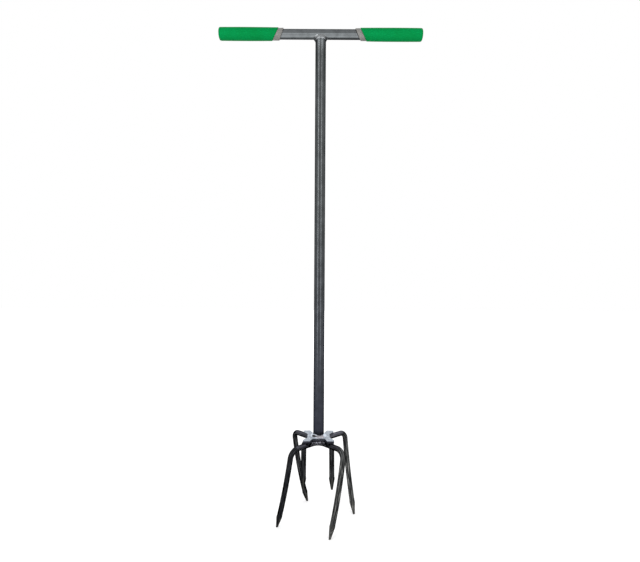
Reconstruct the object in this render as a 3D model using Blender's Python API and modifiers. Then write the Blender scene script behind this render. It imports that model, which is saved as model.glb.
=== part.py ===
# Claw cultivator: a T-handled garden tool whose six bent steel tines are screwed into the soil by turning
# the handle. It is one rigid weldment (crossbar, pole, notched plate and three bent rods) with two
# push-on grips. Units are metres, +Z is up and the crossbar lies along X. The outer tines stand on z = 0,
# and the pole's axis runs through x = 0, y = 0.

import math

import bmesh
import bpy
from mathutils import Matrix, Vector

# Tubes
HANDLE_HEIGHT = 1.0257          # from the ground to the crossbar's axis; the pole's length follows
POLE_DIAMETER = 0.0225          # over the paint
POLE_WALL = 0.0015
CROSSBAR_DIAMETER = 0.020
CROSSBAR_WALL = 0.0015
CROSSBAR_LENGTH = 0.4246
POLE_EAR_HEIGHT = 0.003         # how far the coped pole reaches up beside the crossbar

# Grips and collars; each distance is measured from the pole's axis to the middle of a slanted end
GRIP_START = {"left": 0.0964, "right": 0.0908}
COLLAR_START = {"left": 0.0832, "right": 0.0790}
GRIP_WALL_INNER_END = 0.0024
GRIP_WALL_MIDDLE = 0.0028
GRIP_WALL_OUTER_END = 0.0025
GRIP_END_THICKNESS = 0.0028
GRIP_EDGE_RADIUS = 0.0035
GRIP_SLANT_DEGREES = 29.6
COLLAR_WALL = 0.0016
COLLAR_SLANT_DEGREES = {"left": 22.5, "right": 28.0}
SLANT_TURN_DEGREES = 35.0       # how far the slanted ends are turned to the front, round the crossbar
SLANT_SPARE = 0.002             # length beyond a slanted end that its cut takes off

# Notched head plate
PLATE_SIZE = 0.064
PLATE_THICKNESS = 0.005
PLATE_CORNER_RADIUS = 0.0020
PLATE_EDGE_BEVEL = 0.0004
FRONT_NOTCH_MOUTH = 0.035
FRONT_NOTCH_FLOOR = 0.025
FRONT_NOTCH_DEPTH = 0.014
SIDE_NOTCH_MOUTH = 0.050
SIDE_NOTCH_FLOOR = 0.020
SIDE_NOTCH_DEPTH = 0.0088

# Bent rods
ROD_DIAMETER = 0.011
OUTER_TINE_DROP = 0.165         # rod's axis under the plate to the outer tips
FRONT_SHOULDER_RADIUS = 0.0175  # bend where a tine of the front rod turns down
REAR_SHOULDER_RADIUS = 0.0125
CROWN_BEND_RADIUS = 0.018       # bend of an outer rod under the middle of the plate
CROWN_OFFSET = 0.0049           # pole's axis to the corner of that bend
BEND_RESERVE = 1.3              # multiple of a shoulder's bend radius that the sweep below it keeps clear of
# Each tine's corner where it turns down, and its tip, as a distance and a direction from the pole's axis,
# and how far the tine's middle is swept round from the straight line between the two
OUTER_TINES = {
    "front_left": {"shoulder_distance": 0.0763, "shoulder_degrees": 225.7,
                   "tip_distance": 0.0890, "tip_degrees": 199.6, "bow_depth": 0.0060},
    "front_right": {"shoulder_distance": 0.0758, "shoulder_degrees": 311.7,
                    "tip_distance": 0.0757, "tip_degrees": 287.5, "bow_depth": 0.0048},
    "rear_right": {"shoulder_distance": 0.0797, "shoulder_degrees": 43.0,
                   "tip_distance": 0.0801, "tip_degrees": 15.3, "bow_depth": 0.0060},
    "rear_left": {"shoulder_distance": 0.0788, "shoulder_degrees": 133.6,
                  "tip_distance": 0.0805, "tip_degrees": 108.2, "bow_depth": 0.0060},
}
INNER_TINE_DROP = 0.103
INNER_SPAN_TOP = 0.0586
INNER_SPAN_TIPS = 0.0606
INNER_OFFSET = -0.0016          # the short rod is welded slightly to the left
INNER_BEND_RADIUS = 0.012

# Forged point at every tine's end
POINT_LENGTH = 0.023
POINT_SHOULDER_LENGTH = 0.005   # from the full forged square back to the round rod
POINT_SQUARE = 0.0104           # across the flats where the taper starts
POINT_END_SQUARE = 0.0043
POINT_FLAT = 0.0030             # worn flat at the very end
POINT_NOSE = 0.0016             # length of the rounding at the end

# Weld beads
FOOT_WELD_LEG = 0.0052
FOOT_WELD_HEIGHT = 0.0058
FOOT_WELD_FULLNESS = 0.86       # 1 is a hollow quarter circle, less fills the bead out
CROSSBAR_WELD_LEG = {"left": 0.0050, "right": 0.0036}
CROSSBAR_WELD_FRONT_DROP = 0.0028   # lower edge of the bead under the crossbar, in front and behind
CROSSBAR_WELD_WRAP_DEGREES = 60.0   # how far the bead climbs round the crossbar in front and behind
CROSSBAR_WELD_SIDE_FULLNESS = 0.2   # how far the bead's face is filled out at the sides; it is 1 in front
# The bead's root, before it is cut back to the tubes, as shares of the crossbar's radius and of the bead
CROSSBAR_WELD_ROOT_SHARES = {"inward": 0.65, "along": 0.97, "wrap": 0.9, "core": 0.6, "fall": 0.23}
WELD_TOE = 0.0008
WELD_RIPPLE = 0.00018
WELD_RIPPLE_COUNT = 22
ROD_WELD_THICKNESS = 0.0056
ROD_WELD_LENGTH = 0.013
ROD_WELD_LIFT = 0.7             # share of the bead's half thickness that lies under the plate
ROD_WELD_END = 0.3              # how thin the bead is at its two ends
OUTER_ROD_WELD_START = 0.024    # from the corner of the crown bend, along the arm
INNER_ROD_WELD_START = 0.004    # from the pole's axis, along the short rod

GAP = 0.0003                    # clearance left between touching pieces
CUT_SPARE = 0.010               # how far a cutter runs past the piece that it cuts
TUBE_SIDES = 48
ROD_SIDES = 16
WELD_STATIONS = 72
BEND_STEP_DEGREES = 11.25
RING_SPACING = 0.004            # least distance between a bend's rings and those of the forged point

# Heights and radii that follow from the sizes above
rod_radius = ROD_DIAMETER / 2
pole_radius = POLE_DIAMETER / 2
crossbar_radius = CROSSBAR_DIAMETER / 2
rod_axis_z = OUTER_TINE_DROP
plate_bottom_z = rod_axis_z + rod_radius + GAP
plate_top_z = plate_bottom_z + PLATE_THICKNESS
crossbar_z = HANDLE_HEIGHT

UP = Vector((0, 0, 1))


def clear_scene():
    for old in list(bpy.data.objects):
        bpy.data.objects.remove(old, do_unlink=True)
    for old in list(bpy.data.collections):
        bpy.data.collections.remove(old)


def new_collection(name):
    collection = bpy.data.collections.new(name)
    bpy.context.scene.collection.children.link(collection)
    return collection


def make_material(name, colour, roughness, metallic):
    material = bpy.data.materials.new(name)
    material.use_nodes = True
    shader = material.node_tree.nodes["Principled BSDF"]
    shader.inputs["Base Color"].default_value = (*colour, 1)
    shader.inputs["Roughness"].default_value = roughness
    shader.inputs["Metallic"].default_value = metallic
    material.diffuse_color = (*colour, 1)
    return material


def link_object(name, data, collection, material=None):
    piece = bpy.data.objects.new(name, data)
    collection.objects.link(piece)
    if material:
        data.materials.append(material)
    return piece


def finish_mesh(name, builder, collection, material=None):
    # Turns a bmesh into an object whose faces point out and whose round sides are smooth.
    bmesh.ops.recalc_face_normals(builder, faces=builder.faces)
    mesh = bpy.data.meshes.new(name)
    builder.to_mesh(mesh)
    builder.free()
    mesh.shade_smooth()
    mesh.set_sharp_from_angle(angle=math.radians(35))
    return link_object(name, mesh, collection, material)


def turned_piece(name, profile, collection, material=None, sides=TUBE_SIDES, closed=True):
    # Revolves an (radius, height) profile round the object's own Z axis.
    mesh = bpy.data.meshes.new(name)
    count = len(profile)
    edges = [(i, i + 1) for i in range(count - 1)]
    if closed:
        edges.append((count - 1, 0))
    mesh.from_pydata([(radius, 0, height) for radius, height in profile], edges, [])
    piece = link_object(name, mesh, collection, material)
    screw = piece.modifiers.new("Turn", "SCREW")
    screw.angle = math.tau
    screw.steps = sides
    screw.render_steps = sides
    screw.use_merge_vertices = True
    screw.merge_threshold = 0.00001
    screw.use_smooth_shade = True
    return piece


def baked(piece, collection, material=None):
    # Replaces an object by a plain mesh of its evaluated shape, with loose caps welded.
    bpy.context.view_layer.update()
    graph = bpy.context.evaluated_depsgraph_get()
    mesh = bpy.data.meshes.new_from_object(piece.evaluated_get(graph))
    name = piece.name
    place = piece.matrix_world.copy()
    bpy.data.objects.remove(piece, do_unlink=True)
    builder = bmesh.new()
    builder.from_mesh(mesh)
    bmesh.ops.remove_doubles(builder, verts=builder.verts, dist=0.00001)
    bmesh.ops.recalc_face_normals(builder, faces=builder.faces)
    builder.to_mesh(mesh)
    builder.free()
    mesh.name = name
    mesh.materials.clear()
    solid = link_object(name, mesh, collection, material)
    solid.name = name
    solid.matrix_world = place
    mesh.shade_smooth()
    mesh.set_sharp_from_angle(angle=math.radians(35))
    return solid


def cut(piece, cutter):
    boolean = piece.modifiers.new("Cut by " + cutter.name, "BOOLEAN")
    boolean.operation = "DIFFERENCE"
    boolean.solver = "EXACT"
    boolean.object = cutter
    cutter.hide_render = True
    cutter.display_type = "WIRE"


def cylinder_cutter(name, radius, start, end):
    # A round cutter between two points.
    start, end = Vector(start), Vector(end)
    builder = bmesh.new()
    bmesh.ops.create_cone(builder, cap_ends=True, segments=TUBE_SIDES, radius1=radius, radius2=radius,
                          depth=(end - start).length)
    turn = UP.rotation_difference(end - start).to_matrix().to_4x4()
    bmesh.ops.transform(builder, matrix=Matrix.Translation((start + end) / 2) @ turn, verts=builder.verts)
    return finish_mesh(name, builder, cutters)


def block_cutter(name, low, high, matrix=None):
    builder = bmesh.new()
    bmesh.ops.create_cube(builder, size=1)
    low, high = Vector(low), Vector(high)
    size = high - low
    place = Matrix.Translation((low + high) / 2) @ Matrix.Diagonal((*size, 1))
    bmesh.ops.transform(builder, matrix=(matrix or Matrix()) @ place, verts=builder.verts)
    return finish_mesh(name, builder, cutters)


# Crossbar and pole

def tube_profile(outer, wall, bottom, top):
    return [(outer, top), (outer, bottom), (outer - wall, bottom), (outer - wall, top)]


def make_crossbar():
    half = CROSSBAR_LENGTH / 2
    bar = turned_piece("crossbar_tube", tube_profile(crossbar_radius, CROSSBAR_WALL, -half, half),
                       parts, steel_paint)
    bar.location = (0, 0, crossbar_z)
    bar.rotation_euler = (0, math.pi / 2, 0)
    return bar


def make_pole():
    # The top end is coped, so that it seats round the crossbar's underside between two short ears.
    bottom = plate_top_z + GAP
    top = crossbar_z - crossbar_radius + POLE_EAR_HEIGHT
    profile = tube_profile(pole_radius, POLE_WALL, bottom, top)
    pole = turned_piece("pole_tube", profile, parts, steel_paint)
    reach = POLE_DIAMETER
    cope = cylinder_cutter("pole_cope", crossbar_radius + GAP,
                           (-reach, 0, crossbar_z), (reach, 0, crossbar_z))
    cut(pole, cope)
    return pole


# Grips

def slanted_face(name, side, distance, slant_degrees, keep_outer):
    # A large block whose face slants across the crossbar. The side of the slant that lies nearest the pole
    # is its top, turned a little to the front.
    sign = -1 if side == "left" else 1
    reach = CROSSBAR_LENGTH
    direction = -1 if keep_outer else 1
    low, high = sorted((0.0, direction * reach))
    slant = Matrix.Rotation(math.radians(-slant_degrees), 4, "Y")
    turn = Matrix.Rotation(math.radians(SLANT_TURN_DEGREES), 4, "X")
    mirror = Matrix.Diagonal((sign, 1, 1, 1))
    place = Matrix.Translation((sign * distance, 0, crossbar_z)) @ mirror @ turn @ slant
    return block_cutter(name, (low, -reach, -reach), (high, reach, reach), place)


def make_grip(side):
    # A moulded sleeve, slightly barrel shaped, closed and rounded at its outer end.
    sign = -1 if side == "left" else 1
    bore = crossbar_radius + GAP
    slant_reach = math.tan(math.radians(GRIP_SLANT_DEGREES)) * (crossbar_radius + GRIP_WALL_MIDDLE)
    inner = GRIP_START[side] - slant_reach - SLANT_SPARE
    tube_end = CROSSBAR_LENGTH / 2
    outer = tube_end + GAP + GRIP_END_THICKNESS
    middle = (GRIP_START[side] + outer) / 2
    walls = {GRIP_START[side]: GRIP_WALL_INNER_END, middle: GRIP_WALL_MIDDLE, outer: GRIP_WALL_OUTER_END}

    def radius_at(distance):
        # A parabola through the wall given at the two ends and the middle.
        total = 0.0
        for here, wall in walls.items():
            weight = 1.0
            for other in walls:
                if other != here:
                    weight *= (distance - other) / (here - other)
            total += wall * weight
        return bore + total

    steps = 12
    barrel_end = outer - GRIP_EDGE_RADIUS
    profile = [(0, outer)]
    for i in range(7):
        angle = math.pi / 2 * (1 - i / 6)
        profile.append((radius_at(barrel_end) - GRIP_EDGE_RADIUS * (1 - math.cos(angle)),
                        barrel_end + GRIP_EDGE_RADIUS * math.sin(angle)))
    for i in range(1, steps + 1):
        distance = barrel_end + (inner - barrel_end) * i / steps
        profile.append((radius_at(distance), distance))
    profile += [(bore, inner), (bore, tube_end + GAP), (0, tube_end + GAP)]
    grip = turned_piece(side + "_grip", profile, parts, grip_green, closed=False)
    grip.location = (0, 0, crossbar_z)
    grip.rotation_euler = (0, sign * math.pi / 2, 0)
    cut(grip, slanted_face(side + "_grip_slant", side, GRIP_START[side], GRIP_SLANT_DEGREES,
                           keep_outer=True))
    return grip


def make_collar(side):
    # The grey ring between the grip and the bare tube; its two ends slant by different angles.
    sign = -1 if side == "left" else 1
    bore = crossbar_radius + GAP
    outside = bore + COLLAR_WALL
    reach = math.tan(math.radians(GRIP_SLANT_DEGREES)) * outside + SLANT_SPARE
    low, high = COLLAR_START[side] - reach, GRIP_START[side] + reach
    profile = [(outside, high), (outside, low), (bore, low), (bore, high)]
    collar = turned_piece(side + "_grip_collar", profile, parts, collar_grey)
    collar.location = (0, 0, crossbar_z)
    collar.rotation_euler = (0, sign * math.pi / 2, 0)
    cut(collar, slanted_face(side + "_collar_inner_slant", side, COLLAR_START[side],
                             COLLAR_SLANT_DEGREES[side], keep_outer=True))
    joint = GRIP_START[side] - GAP / math.cos(math.radians(GRIP_SLANT_DEGREES))
    cut(collar, slanted_face(side + "_collar_outer_slant", side, joint, GRIP_SLANT_DEGREES,
                             keep_outer=False))
    return collar


# Head plate

def rounded_corner(before, corner, after, radius, steps=3):
    # Points of an arc that rounds one corner of a flat outline.
    to_before, to_after = (before - corner).normalized(), (after - corner).normalized()
    half = to_before.angle(to_after) / 2
    reach = radius / math.tan(half)
    centre = corner + (to_before + to_after).normalized() * (radius / math.sin(half))
    start, end = corner + to_before * reach, corner + to_after * reach
    points = []
    for i in range(steps + 1):
        spoke = (start - centre).lerp(end - centre, i / steps).normalized()
        points.append(centre + spoke * radius)
    return points


def plate_outline():
    half = PLATE_SIZE / 2
    front = [(FRONT_NOTCH_MOUTH / 2, half), (FRONT_NOTCH_FLOOR / 2, half - FRONT_NOTCH_DEPTH)]
    side = [(half, SIDE_NOTCH_MOUTH / 2), (half - SIDE_NOTCH_DEPTH, SIDE_NOTCH_FLOOR / 2)]
    quarter = [Vector(front[1]), Vector(front[0]), Vector((half, half)), Vector(side[0]), Vector(side[1])]
    corners = []
    for flip_x, flip_y in ((1, 1), (1, -1), (-1, -1), (-1, 1)):
        points = [Vector((p.x * flip_x, p.y * flip_y)) for p in quarter]
        if flip_x * flip_y < 0:
            points.reverse()
        corners += points
    outline = []
    for i, corner in enumerate(corners):
        before, after = corners[i - 1], corners[(i + 1) % len(corners)]
        outline += rounded_corner(before, corner, after, PLATE_CORNER_RADIUS)
    return outline


def make_plate():
    curve = bpy.data.curves.new("head_plate", "CURVE")
    curve.dimensions = "2D"
    curve.fill_mode = "BOTH"
    curve.extrude = PLATE_THICKNESS / 2
    outline = plate_outline()
    spline = curve.splines.new("POLY")
    spline.points.add(len(outline) - 1)
    for point, place in zip(spline.points, outline):
        point.co = (place.x, place.y, 0, 1)
    spline.use_cyclic_u = True
    flat = link_object("head_plate", curve, parts)
    flat.location = (0, 0, (plate_bottom_z + plate_top_z) / 2)
    plate = baked(flat, parts, plate_zinc)
    bevel = plate.modifiers.new("Deburred edges", "BEVEL")
    bevel.width = PLATE_EDGE_BEVEL
    bevel.segments = 1
    bevel.limit_method = "ANGLE"
    bevel.angle_limit = math.radians(60)
    return plate


# Bent rods with forged points

def polar(radius, degrees, height):
    angle = math.radians(degrees)
    return Vector((radius * math.cos(angle), radius * math.sin(angle), height))


def bent_path(corners, radii):
    # A centreline through the corners, each rounded by an arc of its own radius.
    path = [corners[0].copy()]
    for before, corner, after, radius in zip(corners, corners[1:], corners[2:], radii):
        arriving, leaving = (corner - before).normalized(), (after - corner).normalized()
        turn = arriving.angle(leaving)
        reach = radius * math.tan(turn / 2)
        start = corner - arriving * reach
        inward = (leaving - arriving * arriving.dot(leaving)).normalized()
        centre = start + inward * radius
        steps = max(4, math.ceil(math.degrees(turn) / BEND_STEP_DEGREES))
        for i in range(steps + 1):
            angle = turn * i / steps
            spoke = arriving * math.sin(angle) - inward * math.cos(angle)
            path.append(centre + spoke * radius)
    path.append(corners[-1].copy())
    return path


def point_at(path, lengths, distance):
    for i in range(1, len(path)):
        if distance <= lengths[i] or i == len(path) - 1:
            share = (distance - lengths[i - 1]) / (lengths[i] - lengths[i - 1])
            return path[i - 1].lerp(path[i], share)


def forged_section(from_end):
    # Half size across the flats, and how square the section is, at a distance from the tine's end.
    if from_end >= POINT_LENGTH + POINT_SHOULDER_LENGTH:
        return rod_radius, 2.0
    if from_end >= POINT_LENGTH:
        share = (from_end - POINT_LENGTH) / POINT_SHOULDER_LENGTH
        return POINT_SQUARE / 2 + (rod_radius - POINT_SQUARE / 2) * share, 4.0 - 2.0 * share
    share = max(0.0, from_end - POINT_NOSE) / (POINT_LENGTH - POINT_NOSE)
    half = POINT_END_SQUARE / 2 + (POINT_SQUARE - POINT_END_SQUARE) / 2 * share
    if from_end < POINT_NOSE:
        swell = math.sqrt(1 - (1 - from_end / POINT_NOSE) ** 2)
        half = POINT_FLAT / 2 + (half - POINT_FLAT / 2) * swell
    return half, 3.0 + share


def rod_stations(lengths):
    # Where the rod's rings lie: closer together over the two forged points.
    total = lengths[-1]
    forged = POINT_LENGTH + POINT_SHOULDER_LENGTH
    near = [0, POINT_NOSE * 0.15, POINT_NOSE * 0.5, POINT_NOSE]
    near += [POINT_NOSE + (POINT_LENGTH - POINT_NOSE) * i / 4 for i in range(1, 5)]
    near += [POINT_LENGTH + POINT_SHOULDER_LENGTH / 2, forged]
    clear = forged + RING_SPACING
    body = [length for length in lengths if clear < length < total - clear]
    return near + body + [total - distance for distance in reversed(near)]


def make_rod(name, corners, radii):
    # A round bar swept along its bent centreline, drawn out at both ends to a blunt four-sided point.
    path = bent_path(corners, radii)
    lengths = [0.0]
    for before, here in zip(path, path[1:]):
        lengths.append(lengths[-1] + (here - before).length)
    total = lengths[-1]
    stations = rod_stations(lengths)
    centres = [point_at(path, lengths, distance) for distance in stations]
    last = len(centres) - 1
    tangents = []
    for i in range(len(centres)):
        tangents.append((centres[min(i + 1, last)] - centres[max(i - 1, 0)]).normalized())

    # The frame is carried along without twist; what is left over at the far end is shared out evenly.
    def outward(i):
        side = centres[i].copy()
        side.z = 0
        return (side - tangents[i] * side.dot(tangents[i])).normalized()

    sides = [outward(0)]
    for i in range(1, len(centres)):
        sides.append(tangents[i - 1].rotation_difference(tangents[i]) @ sides[-1])
    wanted = outward(last)
    left_over = math.atan2(sides[-1].cross(wanted).dot(tangents[last]), sides[-1].dot(wanted))
    quarter = math.pi / 2
    left_over -= quarter * round(left_over / quarter)

    builder = bmesh.new()
    rings = []
    for i, (centre, tangent, side) in enumerate(zip(centres, tangents, sides)):
        distance = stations[i]
        side = Matrix.Rotation(left_over * distance / total + math.pi / 4, 3, tangent) @ side
        other = tangent.cross(side)
        from_end = min(distance, total - distance)
        half, power = forged_section(from_end)
        level = max(0.0, 1 - from_end / (POINT_NOSE * 2))
        ring = []
        for k in range(ROD_SIDES):
            angle = math.tau * k / ROD_SIDES
            c, s = math.cos(angle), math.sin(angle)
            reach = half / (abs(c) ** power + abs(s) ** power) ** (1 / power)
            offset = side * (reach * c) + other * (reach * s)
            offset -= tangent * (level * offset.z / tangent.z) if level else Vector()
            ring.append(builder.verts.new(centre + offset))
        rings.append(ring)
    for lower, upper in zip(rings, rings[1:]):
        for k in range(ROD_SIDES):
            n = (k + 1) % ROD_SIDES
            builder.faces.new((lower[k], lower[n], upper[n], upper[k]))
    builder.faces.new(reversed(rings[0]))
    builder.faces.new(rings[-1])
    return finish_mesh(name, builder, parts, tine_black)


def outer_tine(name):
    # The shoulder corner, the swept middle and the tip of one outer tine.
    tine = OUTER_TINES[name]
    shoulder = polar(tine["shoulder_distance"], tine["shoulder_degrees"], rod_axis_z)
    tip = polar(tine["tip_distance"], tine["tip_degrees"], 0)
    chord_middle = (shoulder + tip) / 2
    away = Vector((chord_middle.x, chord_middle.y, 0)).normalized()
    backwards = UP.cross(away)
    return shoulder, chord_middle + backwards * tine["bow_depth"], tip


def bow_radius(shoulder, middle, tip, bend):
    # The largest sweep that fits between the shoulder's bend and the tip.
    turn = (middle - shoulder).angle(tip - middle)
    reach = (middle - shoulder).length - bend * BEND_RESERVE
    return reach / math.tan(turn / 2)


def outer_rod_corners(row):
    sign = -1 if row == "front" else 1
    crown = Vector((0, sign * CROWN_OFFSET, rod_axis_z))
    bend = FRONT_SHOULDER_RADIUS if row == "front" else REAR_SHOULDER_RADIUS
    left_shoulder, left_middle, left_tip = outer_tine(row + "_left")
    right_shoulder, right_middle, right_tip = outer_tine(row + "_right")
    corners = [left_tip, left_middle, left_shoulder, crown, right_shoulder, right_middle, right_tip]
    radii = [bow_radius(left_shoulder, left_middle, left_tip, bend), bend, CROWN_BEND_RADIUS,
             bend, bow_radius(right_shoulder, right_middle, right_tip, bend)]
    return corners, radii


def inner_rod_corners():
    top, tips, low = INNER_SPAN_TOP / 2, INNER_SPAN_TIPS / 2, rod_axis_z - INNER_TINE_DROP
    corners = [Vector((INNER_OFFSET - tips, 0, low)), Vector((INNER_OFFSET - top, 0, rod_axis_z)),
               Vector((INNER_OFFSET + top, 0, rod_axis_z)), Vector((INNER_OFFSET + tips, 0, low))]
    return corners, [INNER_BEND_RADIUS, INNER_BEND_RADIUS]


# Weld beads

def ring_loft(name, section_at, material):
    # Joins closed sections taken at equal turns round the pole's axis into one ring.
    builder = bmesh.new()
    rings = [[builder.verts.new(point) for point in section_at(math.tau * i / WELD_STATIONS)]
             for i in range(WELD_STATIONS)]
    for i, here in enumerate(rings):
        there = rings[(i + 1) % WELD_STATIONS]
        for k in range(len(here)):
            n = (k + 1) % len(here)
            builder.faces.new((here[k], here[n], there[n], there[k]))
    return finish_mesh(name, builder, parts, material)


def ripple(angle):
    return WELD_RIPPLE * math.cos(WELD_RIPPLE_COUNT * angle)


def make_foot_weld():
    # A convex fillet all round the pole's foot.
    inside = pole_radius + GAP
    floor = plate_top_z + GAP

    def section(angle):
        leg = FOOT_WELD_LEG + ripple(angle)
        height = FOOT_WELD_HEIGHT + ripple(angle)
        shape = [(inside, floor), (inside + leg, floor), (inside + leg, floor + WELD_TOE)]
        for i in range(1, 4):
            turn = math.pi / 2 * i / 4
            out = 1 - math.sin(turn) * FOOT_WELD_FULLNESS
            up = 1 - math.cos(turn) * FOOT_WELD_FULLNESS
            shape.append((inside + WELD_TOE + (leg - WELD_TOE) * out,
                          floor + WELD_TOE + (height - WELD_TOE) * up))
        shape += [(inside + WELD_TOE, floor + height), (inside, floor + height)]
        return [(r * math.cos(angle), r * math.sin(angle), z) for r, z in shape]

    return ring_loft("pole_foot_weld", section, bare_weld)


def on_crossbar(radius, x, wrap):
    return Vector((x, radius * math.sin(wrap), crossbar_z - radius * math.cos(wrap)))


def make_crossbar_weld():
    # A saddle-shaped fillet that climbs from the crossbar's underside round its front and back. Its root
    # reaches into both tubes, and the two cuts take it back to a clearance from them.
    wrap_most = math.radians(CROSSBAR_WELD_WRAP_DEGREES)
    seat = crossbar_z - crossbar_radius
    bore = pole_radius + GAP
    core = pole_radius - 2 * POLE_WALL
    root = CROSSBAR_WELD_ROOT_SHARES
    root_radius = crossbar_radius * root["inward"]

    def section(angle):
        c, s = math.cos(angle), math.sin(angle)
        wrap = wrap_most * s
        leg = CROSSBAR_WELD_LEG["left"] * (1 - c) / 2 + CROSSBAR_WELD_LEG["right"] * (1 + c) / 2
        along = (bore + leg + ripple(angle)) * c
        low = seat - leg * c * c - CROSSBAR_WELD_FRONT_DROP * s * s
        toe = bore + WELD_TOE + ripple(angle)
        outer_low = Vector((toe * c, toe * s, low))
        outer_high = on_crossbar(crossbar_radius + GAP + WELD_TOE, along, wrap)
        corner = Vector((toe * c, toe * s, outer_high.z))
        fullness = CROSSBAR_WELD_SIDE_FULLNESS * c * c + s * s
        lower_face = outer_low.lerp(outer_high, 1 / 3).lerp(outer_low.lerp(corner, 1 / 2), fullness)
        upper_face = outer_low.lerp(outer_high, 2 / 3).lerp(corner.lerp(outer_high, 1 / 10), fullness)
        root_high = on_crossbar(root_radius, along * root["along"], wrap * root["wrap"])
        root_core = Vector((core * c, core * s, low))
        root_top = Vector((core * c * root["core"], core * s * root["core"],
                           crossbar_z - root_radius * (1 + root["fall"] * s * s)))
        return [root_core, outer_low, lower_face, upper_face, outer_high, root_high, root_top]

    weld = ring_loft("crossbar_weld", section, steel_paint)
    reach = POLE_DIAMETER
    cut(weld, cylinder_cutter("crossbar_weld_seat", crossbar_radius + GAP,
                              (-reach, 0, crossbar_z), (reach, 0, crossbar_z)))
    below = seat - max(CROSSBAR_WELD_LEG.values()) - CUT_SPARE
    cut(weld, cylinder_cutter("crossbar_weld_bore", bore,
                              (0, 0, below), (0, 0, seat + POLE_EAR_HEIGHT + GAP)))
    return weld


def make_rod_weld(name, axis_start, direction, side, start):
    # A short bead in the corner between a rod and the plate's underside.
    direction, side = direction.normalized(), side.normalized()
    half_thick = ROD_WELD_THICKNESS / 2
    bead_axis = axis_start + side * rod_radius
    bead_axis.z = plate_bottom_z - half_thick * ROD_WELD_LIFT
    curve = bpy.data.curves.new(name, "CURVE")
    curve.dimensions = "3D"
    curve.bevel_depth = half_thick
    curve.bevel_resolution = 2
    curve.use_fill_caps = True
    spline = curve.splines.new("POLY")
    shares = (0, 0.04, 0.14, 0.32, 0.5, 0.68, 0.86, 0.96, 1)
    spline.points.add(len(shares) - 1)
    for point, share in zip(spline.points, shares):
        place = bead_axis + direction * (start + ROD_WELD_LENGTH * share)
        point.co = (*place, 1)
        point.radius = max(ROD_WELD_END, math.sqrt(1 - abs(2 * share - 1) ** 3))
    bead = baked(link_object(name, curve, parts), parts, tine_black)
    cut(bead, cylinder_cutter(name + "_rod_seat", rod_radius + GAP, axis_start - direction * CUT_SPARE,
                              axis_start + direction * (start + ROD_WELD_LENGTH + CUT_SPARE)))
    reach = PLATE_SIZE
    cut(bead, block_cutter(name + "_plate_seat", (-reach, -reach, plate_bottom_z - GAP),
                           (reach, reach, plate_top_z)))
    return bead


def make_rod_welds():
    for row, sign in (("front", -1), ("rear", 1)):
        crown = Vector((0, sign * CROWN_OFFSET, rod_axis_z))
        for hand in ("left", "right"):
            shoulder = outer_tine(row + "_" + hand)[0]
            direction = shoulder - crown
            outward = direction.cross(UP)
            if outward.y * sign < 0:
                outward.negate()
            make_rod_weld("%s_rod_weld_%s" % (row, hand), crown, direction, outward, OUTER_ROD_WELD_START)
    middle = Vector((INNER_OFFSET, 0, rod_axis_z))
    for hand, sign in (("left", -1), ("right", 1)):
        make_rod_weld("inner_rod_weld_" + hand, middle, Vector((sign, 0, 0)), Vector((0, -sign, 0)),
                      INNER_ROD_WELD_START)


clear_scene()
parts = new_collection("claw_cultivator")
cutters = new_collection("cutters")

steel_paint = make_material("hammered grey paint", (0.13, 0.14, 0.15), 0.40, 0.6)
tine_black = make_material("black lacquered rod", (0.030, 0.033, 0.034), 0.45, 0.3)
plate_zinc = make_material("galvanised plate", (0.48, 0.53, 0.60), 0.45, 0.8)
bare_weld = make_material("bare weld metal", (0.45, 0.42, 0.40), 0.50, 0.8)
grip_green = make_material("green moulded grip", (0.0, 0.29, 0.07), 0.45, 0.0)
collar_grey = make_material("grey moulded collar", (0.31, 0.31, 0.30), 0.50, 0.0)

make_crossbar()
make_pole()
for hand in ("left", "right"):
    make_grip(hand)
    make_collar(hand)
make_plate()
make_rod("front_tine_rod", *outer_rod_corners("front"))
make_rod("rear_tine_rod", *outer_rod_corners("rear"))
make_rod("inner_tine_rod", *inner_rod_corners())
make_foot_weld()
make_crossbar_weld()
make_rod_welds()
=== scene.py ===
from functools import partial
from math import atan2, ceil, cos, degrees, pi, radians, sin, sqrt, tan, tau

import bmesh
import bpy
from mathutils import Matrix, Vector, noise


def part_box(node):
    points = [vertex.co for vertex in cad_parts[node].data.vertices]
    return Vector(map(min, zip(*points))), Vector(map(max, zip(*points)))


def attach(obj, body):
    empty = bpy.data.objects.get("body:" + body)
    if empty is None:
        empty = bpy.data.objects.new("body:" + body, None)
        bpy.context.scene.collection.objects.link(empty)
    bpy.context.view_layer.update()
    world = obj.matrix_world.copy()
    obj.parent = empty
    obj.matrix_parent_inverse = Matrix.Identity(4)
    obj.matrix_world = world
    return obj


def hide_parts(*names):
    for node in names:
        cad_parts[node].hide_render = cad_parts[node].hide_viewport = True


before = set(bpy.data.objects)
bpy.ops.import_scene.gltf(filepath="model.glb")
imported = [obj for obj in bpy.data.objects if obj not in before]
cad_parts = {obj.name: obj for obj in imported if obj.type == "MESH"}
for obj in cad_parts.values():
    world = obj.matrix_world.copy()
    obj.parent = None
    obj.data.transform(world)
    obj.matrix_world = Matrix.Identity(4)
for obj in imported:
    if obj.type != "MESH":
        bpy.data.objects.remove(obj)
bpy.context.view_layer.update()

print("frame loaded:", len(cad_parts), "nodes")

scene = bpy.context.scene
mm = 0.001
up = Vector((0, 0, 1))

# Heights and middles that the new pieces share with the solids
plateLow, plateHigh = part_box("head_plate")
barLow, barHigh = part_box("crossbar_tube")
poleLow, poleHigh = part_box("pole_tube")
barZ = (barLow.z + barHigh.z) / 2
barRadius = (barHigh.z - barLow.z) / 2
poleRadius = (poleHigh.x - poleLow.x) / 2
gap = poleLow.z - plateHigh.z  # the solids' clearance where two of them meet


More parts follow.
